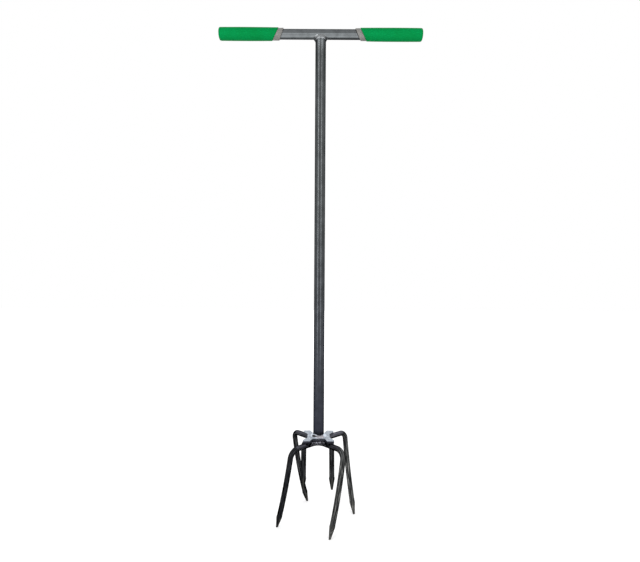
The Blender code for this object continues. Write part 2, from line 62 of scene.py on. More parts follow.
def clamped(value):
    return max(0.0, min(1.0, value))


# Colours and nodes

# A Mix node's sockets for colours, which share their names with those for numbers
factor, colourA, colourB, mixed = 0, 6, 7, 2


def linearColour(hexCode):
    # An sRGB hex colour as the linear values that a socket takes
    channels = [int(hexCode[i:i + 2], 16) / 255 for i in (1, 3, 5)]
    return [c / 12.92 if c <= 0.04045 else ((c + 0.055) / 1.055) ** 2.4 for c in channels] + [1.0]


def feedNode(node, links):
    # Links outputs to a node's sockets; a node given as an output stands for its first one
    for key, output in links.items():
        node.id_data.links.new(getattr(output, "outputs", [output])[0], node.inputs[key])


def addNode(tree, kind, settings=None, links=None):
    # One node with its settings and the outputs that feed it
    node = tree.nodes.new("ShaderNode" + kind)
    for key, value in (settings or {}).items():
        if key == "stops":
            ramp = node.color_ramp.elements
            while len(ramp) < len(value):
                ramp.new(0.5)
            for stop, (place, colour) in zip(ramp, value):
                stop.position = place
                stop.color = linearColour(colour) if isinstance(colour, str) else [colour] * 3 + [1]
        elif isinstance(key, str) and hasattr(node, key):
            setattr(node, key, value)
        else:
            node.inputs[key].default_value = value
    feedNode(node, links or {})
    return node


def newFinish(name, **sockets):
    # A material with its shader's constant sockets set, with addNode for its tree and the output
    # that says where a point is on its piece
    material = bpy.data.materials.new(name)
    material.use_nodes = True
    shader = material.node_tree.nodes["Principled BSDF"]
    for key, value in sockets.items():
        shader.inputs[key.replace("_", " ")].default_value = value
    add = partial(addNode, material.node_tree)
    return material, add, add("TexCoord").outputs["Object"]


def every(size):
    # Texture scale for a pattern that repeats every so many millimetres
    return 1 / (size * mm)


def coverMarked(add, colour, mark, shade, pattern=None):
    # Covers a colour where the mesh has a mark, broken up by a pattern if there is one
    share = add("Attribute", {"attribute_name": mark}).outputs["Fac"]
    if pattern is not None:
        share = add("Math", {"operation": "MULTIPLY"}, {0: share, 1: pattern})
    return add("Mix", {"data_type": "RGBA", colourB: linearColour(shade)},
               {factor: share, colourA: colour}).outputs[mixed]


def dressed(material, finish, colour, relief, gloss=None):
    # The material with its colour, its relief and, from a pattern for gloss, its range of roughness
    add = partial(addNode, material.node_tree)
    strength, depth = finish["bump"]
    bump = add("Bump", {"Strength": strength, "Distance": depth * mm}, {"Height": relief})
    outputs = {"Base Color": colour, "Normal": bump}
    if gloss is not None:
        least, most = finish["roughness"]
        outputs["Roughness"] = add("MapRange", {"To Min": least, "To Max": most}, {"Value": gloss})
    feedNode(material.node_tree.nodes["Principled BSDF"], outputs)
    return material


# Finishes. Pattern sizes are in mm, "roughness" is the least and the most, "bump" is its strength and
# its depth in mm, and each colour stop has its place in the pattern that picks it.

hammeredEnamel = {
    "paint": "#515455",
    "bar": {"tube": "#6b6f71", "bead": "#909395"},  # painted light: paler on the crossbar, and paler still on its weld bead
    "foot": "#2d2f39",  # painted shade: darker and bluer towards the pole's foot
    "darkestBottom": "#222329",  # darkest of all at the very bottom, next to the weld
    # metres above the ground where each of these shades starts and where it is full
    "barFrom": (0.985, 1.015),
    "footFrom": (0.68, 0.15),
    "darkestBottomFrom": (poleLow.z + 13 * mm, poleLow.z + 7 * mm),
    "run": "#2e3032",  # painted shade under the crossbar and beside its bead, and painted shadow at the collars' mouths
    "clouds": ((0.35, 0.72), (0.65, 1.0)),  # how much of its shade the paint keeps
    "mottle": 14.0,
    "dimple": 6.0,  # real hammered paint is near 2 mm, too fine to show
    "edge": {"tube": 0.30, "bead": 0.6},  # how much a glancing look along it still reflects
    "roughness": (0.19, 0.25),
    "bump": (0.06, 0.15),
}


def makeHammeredEnamel(name, where):
    # Grey hammered enamel, stoved on drawn steel tube: aluminium flake in it mirrors the lamps as
    # soft streaks, broken up by clouds and shallow dimples, and leaves the edges dark
    finish = hammeredEnamel
    material, add, place = newFinish(name, Metallic=1.0,
                                     Specular_Tint=[finish["edge"][where]] * 3 + [1])
    mottle = add("TexNoise", {"Scale": every(finish["mottle"]), "Detail": 4.0}, {"Vector": place})
    clouds = add("ValToRGB", {"stops": finish["clouds"]}, {"Fac": mottle})
    height = add("SeparateXYZ", {}, {"Vector": place}).outputs["Z"]
    # Painted light and shade by height: paler on the crossbar and darker towards the pole's foot. The
    # pole is darkest at the very bottom.
    for shade, heights in ((finish["paint"], None), (finish["foot"], finish["footFrom"]),
                           (finish["bar"][where], finish["barFrom"]),
                           (finish["darkestBottom"], finish["darkestBottomFrom"])):
        cloudy = add("Mix", {"data_type": "RGBA", "blend_type": "MULTIPLY", factor: 1.0,
                             colourA: linearColour(shade)},
                     {colourB: clouds}).outputs[mixed]
        if heights:
            share = add("MapRange", {"From Min": heights[0], "From Max": heights[1]},
                        {"Value": height})
            cloudy = add("Mix", {"data_type": "RGBA"},
                         {factor: share, colourA: colour, colourB: cloudy}).outputs[mixed]
        colour = cloudy
    # painted shade under the crossbar and beside its bead, and painted shadow at the collars' mouths
    colour = coverMarked(add, colour, "run", finish["run"])
    dimples = add("TexVoronoi", {"feature": "SMOOTH_F1",
                                 "Scale": every(finish["dimple"])}, {"Vector": place})
    return dressed(material, finish, colour, dimples, mottle)


rodLacquer = {
    "tones": ((0.38, "#0d0d0f"), (0.52, "#202123"), (0.68, "#3c3d41")),  # the lacquer's own tones, under the painted light
    "paintedLitTones": ((0.41, "#171718"), (0.53, "#404141"), (0.66, "#7b7b79")),  # painted light: lighter tones for the right-hand tines
    "arm": "#6c6c76",  # painted sheen on top of the level arms
    "wear": "#57554f",  # rubbed edges of the points
    "spatter": "#7c7c84",  # painted glints on the front of the crown
    "glint": 2.6,  # from one painted glint to the next
    "glintEdge": (0.55, 0.25),  # where a glint starts and where it is full, as shares of its cell
    "streak": (26.0, 2.2),  # along the rod and round it
    "grain": 1.6,
    "edge": 0.02,  # how much a glancing look along it still reflects
    "roughness": (0.24, 0.36),
    "bump": (0.16, 0.20),
}


def makeRodLacquer():
    # Thin black lacquer on hot-bent round bar: the steel's dark mill scale shows through it in
    # streaks along the bar
    finish = rodLacquer
    material, add, place = newFinish("black lacquer on hot-bent bar", Metallic=1.0,
                                     Specular_Tint=[finish["edge"]] * 3 + [1])
    along, around = finish["streak"]
    lengthwise = add("UVMap", {"uv_map": "barLength"})
    stretched = add("Mapping", {"Scale": [every(along), every(around), 1]}, {"Vector": lengthwise})
    streaks = add("TexNoise", {"Scale": 1.0, "Detail": 5.0, "Roughness": 0.6},
                  {"Vector": stretched})
    tones = add("ValToRGB", {"stops": finish["tones"]}, {"Fac": streaks})
    # Painted light: lighter tones cover the right-hand tines, where light falls more
    paintedLitTones = add("ValToRGB", {"stops": finish["paintedLitTones"]}, {"Fac": streaks})
    thin = add("Attribute", {"attribute_name": "thin"}).outputs["Fac"]
    colour = add("Mix", {"data_type": "RGBA"},
                 {factor: thin, colourA: tones, colourB: paintedLitTones}).outputs[mixed]
    cells = add("TexVoronoi", {"Scale": every(finish["glint"])}, {"Vector": place})
    start, full = finish["glintEdge"]
    glints = add("MapRange", {"From Min": start, "From Max": full}, {"Value": cells})
    grain = add("TexNoise", {"Scale": every(finish["grain"]), "Detail": 3.0}, {"Vector": place})
    # Painted sheen on top of the arms, painted glints on the crown's front, and wear on the points
    for mark, pattern in (("arm", None), ("spatter", glints), ("wear", grain)):
        colour = coverMarked(add, colour, mark, finish[mark], pattern)
    return dressed(material, finish, colour, grain, streaks)


galvanisedPlate = {
    "tones": ((0.25, "#7f8791"), (0.5, "#a1a9b4"), (0.75, "#bfc7d0")),
    "spangle": 4.5,  # across one zinc crystal
    "speck": 1.4,
    "speckShare": 0.55,  # the rest of the tone is the crystal's
    "roughness": (0.34, 0.52),
    "bump": (0.30, 0.12),
}


def makeGalvanisedPlate():
    # Hot-dip galvanised steel: pale blue-grey, with crystals that catch the light unevenly
    finish = galvanisedPlate
    material, add, place = newFinish("hot-dip galvanised steel", Metallic=0.55)
    spangle = add("TexVoronoi", {"Scale": every(finish["spangle"])},
                  {"Vector": place}).outputs["Color"]
    speck = add("TexNoise", {"Scale": every(finish["speck"]), "Detail": 4.0}, {"Vector": place})
    grey = add("RGBToBW", {}, {"Color": spangle})
    both = add("Mix", {"data_type": "FLOAT", "Factor": finish["speckShare"]},
               {"A": grey, "B": speck})
    tones = add("ValToRGB", {"stops": finish["tones"]}, {"Fac": both})
    return dressed(material, finish, tones, speck, grey)


cutEdge = {
    "tones": ((0.35, "#16171f"), (0.7, "#282a35")),
    "striation": (0.9, 6.0),  # between the cutting marks, and their length down the edge
    "bump": (0.4, 0.15),
}


def makeCutEdge():
    # Sheared edge and underside, brushed with dark primer: fine upright marks under a dull film
    finish = cutEdge
    material, add, place = newFinish("sheared edge, dark primer", IOR=1.5, Roughness=0.5,
                                     Specular_IOR_Level=0.25)
    across, down = [every(size) for size in finish["striation"]]
    stretched = add("Mapping", {"Scale": [across, across, down]}, {"Vector": place})
    marks = add("TexNoise", {"Scale": 1.0, "Detail": 3.0}, {"Vector": stretched})
    tones = add("ValToRGB", {"stops": finish["tones"]}, {"Fac": marks})
    return dressed(material, finish, tones, marks)


weldMetal = {
    "tones": ((0.3, "#5e5d65"), (0.5, "#8d8b92"), (0.7, "#c2bfc2")),
    "zinc": "#ccd4e0",  # painted highlight: bluish-white glints on the bead's two sides and round the pocket
    "pocket": "#17161b",  # painted shade in the unfilled pocket
    "patch": 3.0,
    "roughness": (0.30, 0.48),
    "bump": (0.3, 0.15),
}


def makeWeldMetal():
    # Bare wire-fed weld bead: dull grey metal with heat stains, with painted highlights at the sides
    # and painted shade in its pocket
    finish = weldMetal
    material, add, place = newFinish("bare weld bead, wire-fed", Metallic=0.45)
    patches = add("TexNoise", {"Scale": every(finish["patch"]), "Detail": 5.0}, {"Vector": place})
    colour = add("ValToRGB", {"stops": finish["tones"]}, {"Fac": patches})
    # Painted highlights on the sides and round the pocket, and painted shade in the pocket
    for mark in ("zinc", "pocket"):
        colour = coverMarked(add, colour, mark, finish[mark])
    return dressed(material, finish, colour, patches, patches)


gripVinyl = {
    "tones": ((0.3, "#007f3d"), (0.5, "#008341"), (0.7, "#008746")),
    "cloud": 32.0,  # slow change of shade from the moulding
    "grain": 1.8,  # the mould's spark grain is near 0.3 mm, too fine to show
    "roughness": (0.48, 0.60),
    "bump": (0.05, 0.10),
}


def makeGripVinyl():
    # Injection-moulded PVC: even green with a fine satin grain and hardly any gloss
    finish = gripVinyl
    material, add, place = newFinish("green PVC, injection-moulded", IOR=1.53,
                                     Specular_IOR_Level=0.03)
    cloud, grain = [add("TexNoise", {"Scale": every(finish[size]), "Detail": 2.0},
                        {"Vector": place}) for size in ("cloud", "grain")]
    tones = add("ValToRGB", {"stops": finish["tones"]}, {"Fac": cloud})
    return dressed(material, finish, tones, grain, cloud)


collarPlastic = {
    "tones": ((0.3, "#6d6c69"), (0.7, "#858480")),
    "cloud": 12.0,
    "bump": (0.15, 0.08),
}


def makeCollarPlastic():
    # Injection-moulded polypropylene: warm grey with a satin skin
    finish = collarPlastic
    material, add, place = newFinish("grey polypropylene, injection-moulded", IOR=1.49,
                                     Roughness=0.45, Specular_IOR_Level=0.35)
    cloud = add("TexNoise", {"Scale": every(finish["cloud"]), "Detail": 3.0}, {"Vector": place})
    tones = add("ValToRGB", {"stops": finish["tones"]}, {"Fac": cloud})
    return dressed(material, finish, tones, cloud)


enamel = makeHammeredEnamel("grey hammered enamel, stoved", "tube")
beadEnamel = makeHammeredEnamel("grey hammered enamel over a weld bead", "bead")
lacquer = makeRodLacquer()
galvanised = makeGalvanisedPlate()
primedEdge = makeCutEdge()
bareWeld = makeWeldMetal()
vinyl = makeGripVinyl()
polypropylene = makeCollarPlastic()
print("finishes made")


# Meshes

def finishMesh(name, builder, materials, nodes, sharp=40):
    # Puts a built mesh in the scene as a piece that rides on the body and stands for CAD nodes
    bmesh.ops.recalc_face_normals(builder, faces=builder.faces)
    mesh = bpy.data.meshes.new(name)
    builder.to_mesh(mesh)
    builder.free()
    for material in materials:
        mesh.materials.append(material)
    mesh.shade_smooth()
    mesh.set_sharp_from_angle(angle=radians(sharp))
    piece = bpy.data.objects.new(name, mesh)
    scene.collection.objects.link(piece)
    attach(piece, "root")
    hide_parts(*nodes)
    return piece


def loftRings(rings, looped=False, marks=None):
    # Skins rings of equal length; looped joins the last ring to the first instead of capping both.
    # Marks are lists like the rings, with a number for each point, that the finishes read by name.
    builder = bmesh.new()
    uv = builder.loops.layers.uv.new("barLength")
    layers = {name: builder.verts.layers.float.new(name) for name in (marks or {})}
    corners = [[builder.verts.new(point) for point in ring] for ring in rings]
    for name, layer in layers.items():
        for ring, values in zip(corners, marks[name]):
            for vertex, value in zip(ring, values):
                vertex[layer] = value
    middles = [sum(ring, Vector()) / len(ring) for ring in rings]
    along = [0.0]
    for before, here in zip(middles, middles[1:]):
        along.append(along[-1] + (here - before).length)
    pairs = list(zip(range(len(rings) - 1), range(1, len(rings))))
    if looped:
        pairs.append((len(rings) - 1, 0))
    for i, j in pairs:
        count = len(rings[i])
        step = sum((rings[i][k] - rings[i][k - 1]).length for k in range(count)) / count
        for k in range(count):
            n = (k + 1) % count
            face = builder.faces.new((corners[i][k], corners[i][n], corners[j][n], corners[j][k]))
            places = ((along[i], k), (along[i], k + 1), (along[j], k + 1), (along[j], k))
            for loop, (u, v) in zip(face.loops, places):
                loop[uv].uv = (u, v * step)
    if not looped:
        builder.faces.new(reversed(corners[0]))
        builder.faces.new(corners[-1])
    return builder


def circlePoints(count):
    return [(cos(tau * k / count), sin(tau * k / count)) for k in range(count)]


def roundedRim(edge, steps):
    # Steps round a rim to the end face, as how far from the end and how far in from the radius
    turns = [pi / 2 * i / steps for i in range(steps + 1)]
    return [(edge * (1 - sin(turn)), edge * (1 - cos(turn))) for turn in turns]


def bezierPoints(controls, steps):
    # Points on the curve that a row of control points draws
    places = []
    for i in range(steps + 1):
        left = list(controls)
        while len(left) > 1:
            left = [a.lerp(b, i / steps) for a, b in zip(left, left[1:])]
        places.append(left[0])
    return places


# Grips and collars

grips = {
    "start": {"left": 96.4 * mm, "right": 90.8 * mm},  # pole's axis to the slanted end's middle
    "collarStart": {"left": 83.2 * mm, "right": 79.0 * mm},
    "wall": (2.4 * mm, 2.8 * mm, 2.5 * mm),  # at the slanted, the middle and the outer end
    "collarWall": 1.6 * mm,
    "endThickness": 2.8 * mm,
    "outerEdge": 3.5 * mm,
    "slantedEdge": 0.45 * mm,
    "gripSlant": 29.6,  # degrees
    "collarSlant": {"left": 22.5, "right": 28.0},
    "slantTurn": 35.0,  # degrees that the slanted ends are turned to the front
    "slantFade": 1 / 3,  # share of the barrel in which its rings come upright
    "sides": 96,
    "stations": 36,
    "edgeSteps": 4,
    "endSteps": 8,
    "collarSteps": 8,
}


def barRing(circle, side, distance, slant, radius):
    # Points round the crossbar; the slant leans their ring towards the pole at the top front
    sign = -1 if side == "left" else 1
    turn = radians(grips["slantTurn"])
    ring = []
    for c, s in circle:
        lean = tan(radians(slant)) * radius * (cos(turn) * s - sin(turn) * c)
        ring.append(Vector((sign * (distance - lean), radius * c, barZ + radius * s)))
    return ring


def makeGrip(side):
    circle = circlePoints(grips["sides"])
    start = grips["start"][side]
    outer = barHigh.x + gap + grips["endThickness"]
    bore = barRadius + gap
    first, middle, last = grips["wall"]

    def radiusAt(distance):
        # A shallow barrel: a parabola through the three wall thicknesses
        t = (distance - start) / (outer - start)
        wall = first * (1 - t) * (1 - 2 * t) + middle * 4 * t * (1 - t) + last * t * (2 * t - 1)
        return bore + wall

    def ring(distance, radius, lean):
        return barRing(circle, side, distance, grips["gripSlant"] * lean, radius)

    # From the closed end of the bore out to the slanted rim, along the barrel and over its end
    rings = [ring(barHigh.x + gap, bore, 0), ring(start, bore, 1)]
    for inward, less in reversed(roundedRim(grips["slantedEdge"], grips["edgeSteps"])):
        rings.append(ring(start + inward, radiusAt(start) - less, 1))
    barrelStart = start + grips["slantedEdge"]
    barrelEnd = outer - grips["outerEdge"]
    for i in range(1, grips["stations"]):
        share = i / grips["stations"]
        distance = barrelStart + (barrelEnd - barrelStart) * share
        rings.append(ring(distance, radiusAt(distance), clamped(1 - share / grips["slantFade"])))
    for inward, less in roundedRim(grips["outerEdge"], grips["endSteps"]):
        rings.append(ring(outer - inward, radiusAt(barrelEnd) - less, 0))
    finishMesh(side + "Grip", loftRings(rings), [vinyl], [side + "_grip"])


def makeCollar(side):
    circle = circlePoints(grips["sides"])
    wall, edge, steps = grips["collarWall"], grips["slantedEdge"], grips["collarSteps"]
    radius = barRadius + gap + wall
    start = grips["collarStart"][side]
    end = grips["start"][side] - gap / cos(radians(grips["gripSlant"]))

    def ring(share, less, inset):
        size = radius - less
        near = barRing(circle, side, start + inset, grips["collarSlant"][side], size)
        far = barRing(circle, side, end - inset, grips["gripSlant"], size)
        return [a.lerp(b, share) for a, b in zip(near, far)]

    rim = roundedRim(edge, grips["edgeSteps"])
    rings = [ring(0, wall, 0)]
    rings += [ring(0, less, inward) for inward, less in reversed(rim)]
    rings += [ring(i / steps, 0, edge) for i in range(1, steps)]
    rings += [ring(1, less, inward) for inward, less in rim]
    rings.append(ring(1, wall, 0))
    finishMesh(side + "Collar", loftRings(rings, looped=True), [polypropylene],
               [side + "_grip_collar"])


for side in ("left", "right"):
    makeGrip(side)
    makeCollar(side)
print("grips and collars made")


# Crossbar and pole

tubes = {
    "wall": 1.5 * mm,
    "sides": 96,
    "stations": 40,  # rings along a tube
    "earHeight": 1.0 * mm,  # how far the coped pole reaches up beside the crossbar
    "paintedShadeTurn": 10.0,  # painted shade: degrees behind the crossbar's lowest line
    "paintedShadeHalf": 33.0,  # degrees to each side
    "paintedShadeFade": 6.0,
    "paintedShadeShare": (0.70, 1.0),  # left and right of the pole
    "paintedShadeBlend": 20.0 * mm,  # from the one share to the other
    "mouthShadow": {"left": 0.5, "right": 0.9},  # how dark the painted shadow line is at each collar's mouth
    "mouthShadowWidth": 1.2 * mm,
    "mouthShadowFade": 0.6 * mm,
    "clearOfMouth": 9.0 * mm,  # upright rings keep this far from the slanted ones there
}


def barStations():
    # The crossbar's rings from left to right: place, side, distance, slant and painted shadow. Those
    # at a collar's mouth follow its slant.
    half = (barHigh.x - barLow.x) / 2
    stations = []
    for i in range(tubes["stations"] + 1):
        x = -half + 2 * half * i / tubes["stations"]
        side = "left" if x < 0 else "right"
        if abs(abs(x) - grips["collarStart"][side]) > tubes["clearOfMouth"]:
            stations.append((x, side, abs(x), 0.0, 0.0))
    # Painted shadow: a dark line on the crossbar at each collar's mouth
    width, fade = tubes["mouthShadowWidth"], tubes["mouthShadowFade"]
    for side, sign in (("left", -1), ("right", 1)):
        dark = tubes["mouthShadow"][side]
        for inward, mouthShadow in ((width + fade, 0.0), (width, dark), (0.0, dark)):
            distance = grips["collarStart"][side] - inward
            stations.append((sign * distance, side, distance, grips["collarSlant"][side], mouthShadow))
    return sorted(stations)


def makeCrossbar():
    circle = circlePoints(tubes["sides"])
    stations = barStations()
    least, most = tubes["paintedShadeShare"]
    rings, paintedShades = [], []
    # Painted shade along the crossbar's underside, fuller right of the pole
    away = [abs(degrees(atan2(c, -s)) - tubes["paintedShadeTurn"]) for c, s in circle]
    under = [clamped((tubes["paintedShadeHalf"] - turn) / tubes["paintedShadeFade"]) for turn in away]
    for radius, order in ((barRadius, 1), (barRadius - tubes["wall"], -1)):
        for x, side, distance, slant, mouthShadow in stations[::order]:
            rings.append(barRing(circle, side, distance, slant, radius))
            run = least + (most - least) * clamped(0.5 + x / tubes["paintedShadeBlend"])
            paintedShades.append([max(mouthShadow, run * share) for share in under])
    finishMesh("crossbar", loftRings(rings, looped=True, marks={"run": paintedShades}), [enamel],
               ["crossbar_tube"])


def copeHeight(y, ears):
    # Height of the pole's top end under the crossbar, at a distance y from its middle
    seat = barRadius + gap
    if abs(y) >= seat:
        return ears
    return min(ears, barZ - sqrt(seat * seat - y * y))


def makePole():
    circle = circlePoints(tubes["sides"])
    foot = poleLow.z
    ears = barZ - barRadius + tubes["earHeight"]
    rings = []
    for radius, order in ((poleRadius, 1), (poleRadius - tubes["wall"], -1)):
        tops = [copeHeight(radius * s, ears) for c, s in circle]
        shares = [i / tubes["stations"] for i in range(tubes["stations"] + 1)]
        rings += [[Vector((radius * c, radius * s, foot + (top - foot) * share))
                   for (c, s), top in zip(circle, tops)] for share in shares[::order]]
    finishMesh("pole", loftRings(rings, looped=True), [enamel], ["pole_tube"])


makeCrossbar()
makePole()
print("crossbar and pole made")


# Head plate

plate = {
    "cornerRadius": 2.0 * mm,
    "cornerSteps": 6,
    "frontNotch": (35.0 * mm, 25.0 * mm, 14.0 * mm),  # mouth, floor and depth
    "sideNotch": (50.0 * mm, 20.0 * mm, 8.8 * mm),
    "bevel": 0.5 * mm,
    "bevelSegments": 3,
    "sharp": 60,  # degrees between two faces that makes a sheared edge
}


def plateOutline():
    half, radius = plateHigh.x, plate["cornerRadius"]
    mouth, floor, depth = plate["frontNotch"]
    sideMouth, sideFloor, sideDepth = plate["sideNotch"]
    quarter = [(floor / 2, half - depth), (mouth / 2, half), (half, half),
               (half, sideMouth / 2), (half - sideDepth, sideFloor / 2)]
    corners = []
    for flipX, flipY in ((1, 1), (1, -1), (-1, -1), (-1, 1)):
        turned = [Vector((x * flipX, y * flipY)) for x, y in quarter]
        corners += turned if flipX * flipY > 0 else turned[::-1]
    outline = []
    for i, corner in enumerate(corners):
        toBefore = (corners[i - 1] - corner).normalized()
        toAfter = (corners[(i + 1) % len(corners)] - corner).normalized()
        halfAngle = toBefore.angle(toAfter) / 2
        reach = radius / tan(halfAngle)
        middle = corner + (toBefore + toAfter).normalized() * (radius / sin(halfAngle))
        first, last = corner + toBefore * reach - middle, corner + toAfter * reach - middle
        shares = [k / plate["cornerSteps"] for k in range(plate["cornerSteps"] + 1)]
        outline += [middle + first.lerp(last, share).normalized() * radius for share in shares]
    return outline


def makePlate():
    outline = plateOutline()
    builder = bmesh.new()
    low = [builder.verts.new((p.x, p.y, plateLow.z)) for p in outline]
    high = [builder.verts.new((p.x, p.y, plateHigh.z)) for p in outline]
    builder.faces.new(low).material_index = 1
    builder.faces.new(high)
    for i in range(len(outline)):
        builder.faces.new((low[i - 1], low[i], high[i], high[i - 1])).material_index = 1
    piece = finishMesh("headPlate", builder, [galvanised, primedEdge],
                       ["head_plate"], plate["sharp"])
    bevel = piece.modifiers.new("sheared edge", "BEVEL")
    bevel.width = plate["bevel"]
    bevel.segments = plate["bevelSegments"]
    bevel.limit_method = "ANGLE"
    bevel.angle_limit = radians(plate["sharp"])


makePlate()
print("head plate made")


# Bent rods with forged points

rods = {
    "radius": 5.5 * mm,
    "sides": 32,
    "spacing": 8.0 * mm,  # the most between two rings of a straight run
    "bendStep": 5.0,  # degrees of bend between two rings
    "leastBendSteps": 6,
    "crownOffset": 4.9 * mm,
    "crownBend": 18.0 * mm,
    "shoulderBend": {"front": 17.5 * mm, "rear": 12.5 * mm},
    "bendReserve": 1.3,  # shoulder bends that stay free of the tine's sweep
    # shoulder's distance from the pole's axis and its direction in degrees, the tip's, and the bow
    "frontLeft": (76.3 * mm, 225.7, 89.0 * mm, 199.6, 6.0 * mm),
    "frontRight": (75.8 * mm, 311.7, 75.7 * mm, 287.5, 4.8 * mm),
    "rearRight": (79.7 * mm, 43.0, 80.1 * mm, 15.3, 6.0 * mm),
    "rearLeft": (78.8 * mm, 133.6, 80.5 * mm, 108.2, 6.0 * mm),
    "innerDrop": 103.0 * mm,
    "innerTop": 58.6 * mm,
    "innerTips": 60.6 * mm,
    "innerOffset": -1.6 * mm,
    "innerBend": 12.0 * mm,
    # share of its length, from the left tip, from which a rod's right-hand part gets its painted
    # light, and how much painted light it has before that
    "paintedLightFrom": {"front": 0.60, "rear": 0.60, "inner": 1.0},
    "paintedLightLeast": {"front": 0.0, "rear": 0.24, "inner": 0.12},
    "paintedLightBlend": 0.10,
    # how much painted sheen the level part gets on top, left and right of the pole
    "paintedSheen": {"front": (0.35, 0.15), "rear": (0.40, 0.60), "inner": (0.20, 0.20)},
    "paintedSheenDown": 0.25,  # how far round its sides that reaches
    "levelSlope": (0.325, 0.20),  # steepness below which that starts, and below which it is full
}
points = {
    "length": 23.0 * mm,
    "shoulder": 5.0 * mm,  # from the square section to the round one
    "square": 10.4 * mm,
    "endSquare": 4.3 * mm,
    "flat": 3.0 * mm,
    "nose": 1.6 * mm,
    "levelled": 3.2 * mm,  # in this length the section turns level with the ground
    "powers": (3.0, 4.0, 2.0),  # of the outline at the nose, the square section and the round bar
    "noseShares": (0, 0.06, 0.2, 0.45, 0.75, 1),
    "lengthSteps": 14,
    "shoulderSteps": 4,
    "clear": 2.0 * mm,  # rings of the bar keep this far from those of a point
    "dent": 0.10 * mm,  # hammer marks
    "dentSize": 5.0,  # mm from one mark to the next
    "dentInward": 0.6,  # hammered metal is pushed in more than out
    "wornCorner": 0.8,
    "wornEnd": 8.05 * mm,
}
# Painted glints: light specks painted as highlights on the front of each rod's middle
spatter = {
    "reach": 22.0 * mm,  # to each side of the crown
    "fade": 0.3,  # the lower, the more even
    "facing": (-0.40, -0.25),  # only on what faces this far to the front and not down
}
rodZ = plateLow.z - gap - rods["radius"]


def polar(distance, degrees, height):
    return Matrix.Rotation(radians(degrees), 3, "Z") @ Vector((distance, 0, height))


def bentPath(corners, radii):
    # A centreline through the corners, each rounded by an arc of its own radius
    path = [corners[0]]
    for before, corner, after, radius in zip(corners, corners[1:], corners[2:], radii):
        arriving, leaving = (corner - before).normalized(), (after - corner).normalized()
        turn = arriving.angle(leaving)
        start = corner - arriving * (radius * tan(turn / 2))
        inward = (leaving - arriving * arriving.dot(leaving)).normalized()
        steps = max(rods["leastBendSteps"], ceil(degrees(turn) / rods["bendStep"]))
        for i in range(steps + 1):
            angle = turn * i / steps
            path.append(start + inward * (radius * (1 - cos(angle)))
                        + arriving * (radius * sin(angle)))
    return path + [corners[-1]]


def forgedSection(fromEnd):
    # Half size across the flats, and the outline's power, at a distance from the tine's end
    full, half = rods["radius"], points["square"] / 2
    length, nose = points["length"], points["nose"]
    noseShape, square, barShape = points["powers"]
    if fromEnd >= length:
        share = clamped((fromEnd - length) / points["shoulder"])
        return half + (full - half) * share, square + (barShape - square) * share
    share = max(0.0, fromEnd - nose) / (length - nose)
    half = points["endSquare"] / 2 + (half - points["endSquare"] / 2) * share
    if fromEnd < nose:
        swell = sqrt(1 - (1 - fromEnd / nose) ** 2)
        half = points["flat"] / 2 + (half - points["flat"] / 2) * swell
    return half, noseShape + (square - noseShape) * share


def rodStations(lengths):
    # Distances along a rod for its rings: close together on both points, wider between them
    length, nose, shoulder = points["length"], points["nose"], points["shoulder"]
    near = [nose * share for share in points["noseShares"]]
    for start, reach, steps in ((nose, length - nose, points["lengthSteps"]),
                                (length, shoulder, points["shoulderSteps"])):
        near += [start + reach * i / steps for i in range(1, steps + 1)]
    clear = length + shoulder + points["clear"]
    total = lengths[-1]
    body = []
    for before, here in zip(lengths, lengths[1:]):
        count = max(1, ceil((here - before) / rods["spacing"]))
        body += [before + (here - before) * i / count for i in range(count)]
    body = [place for place in body if clear < place < total - clear]
    return near + body + [total - place for place in reversed(near)]


def placesAlong(path, lengths, stations):
    # The points of a path at these distances from its start
    places, k = [], 1
    for station in stations:
        while lengths[k] < station and k < len(lengths) - 1:
            k += 1
        share = (station - lengths[k - 1]) / (lengths[k] - lengths[k - 1])
        places.append(path[k - 1].lerp(path[k], share))
    return places


def sectionTurns(centres):
    # At each ring the rod's direction and a side of it that is carried along without a twist. The
    # sections of both points face away from the pole, so a last angle is shared out on the way.
    last = len(centres) - 1
    tangents = [(centres[min(i + 1, last)] - centres[max(i - 1, 0)]).normalized()
                for i in range(last + 1)]

    def outward(i):
        side = Vector((centres[i].x, centres[i].y, 0))
        return (side - tangents[i] * side.dot(tangents[i])).normalized()

    sides = [outward(0)]
    for before, here in zip(tangents, tangents[1:]):
        sides.append(before.rotation_difference(here) @ sides[-1])
    wanted = outward(last)
    leftOver = atan2(sides[-1].cross(wanted).dot(tangents[last]), sides[-1].dot(wanted))
    leftOver -= pi / 2 * round(leftOver / (pi / 2))
    return tangents, sides, leftOver


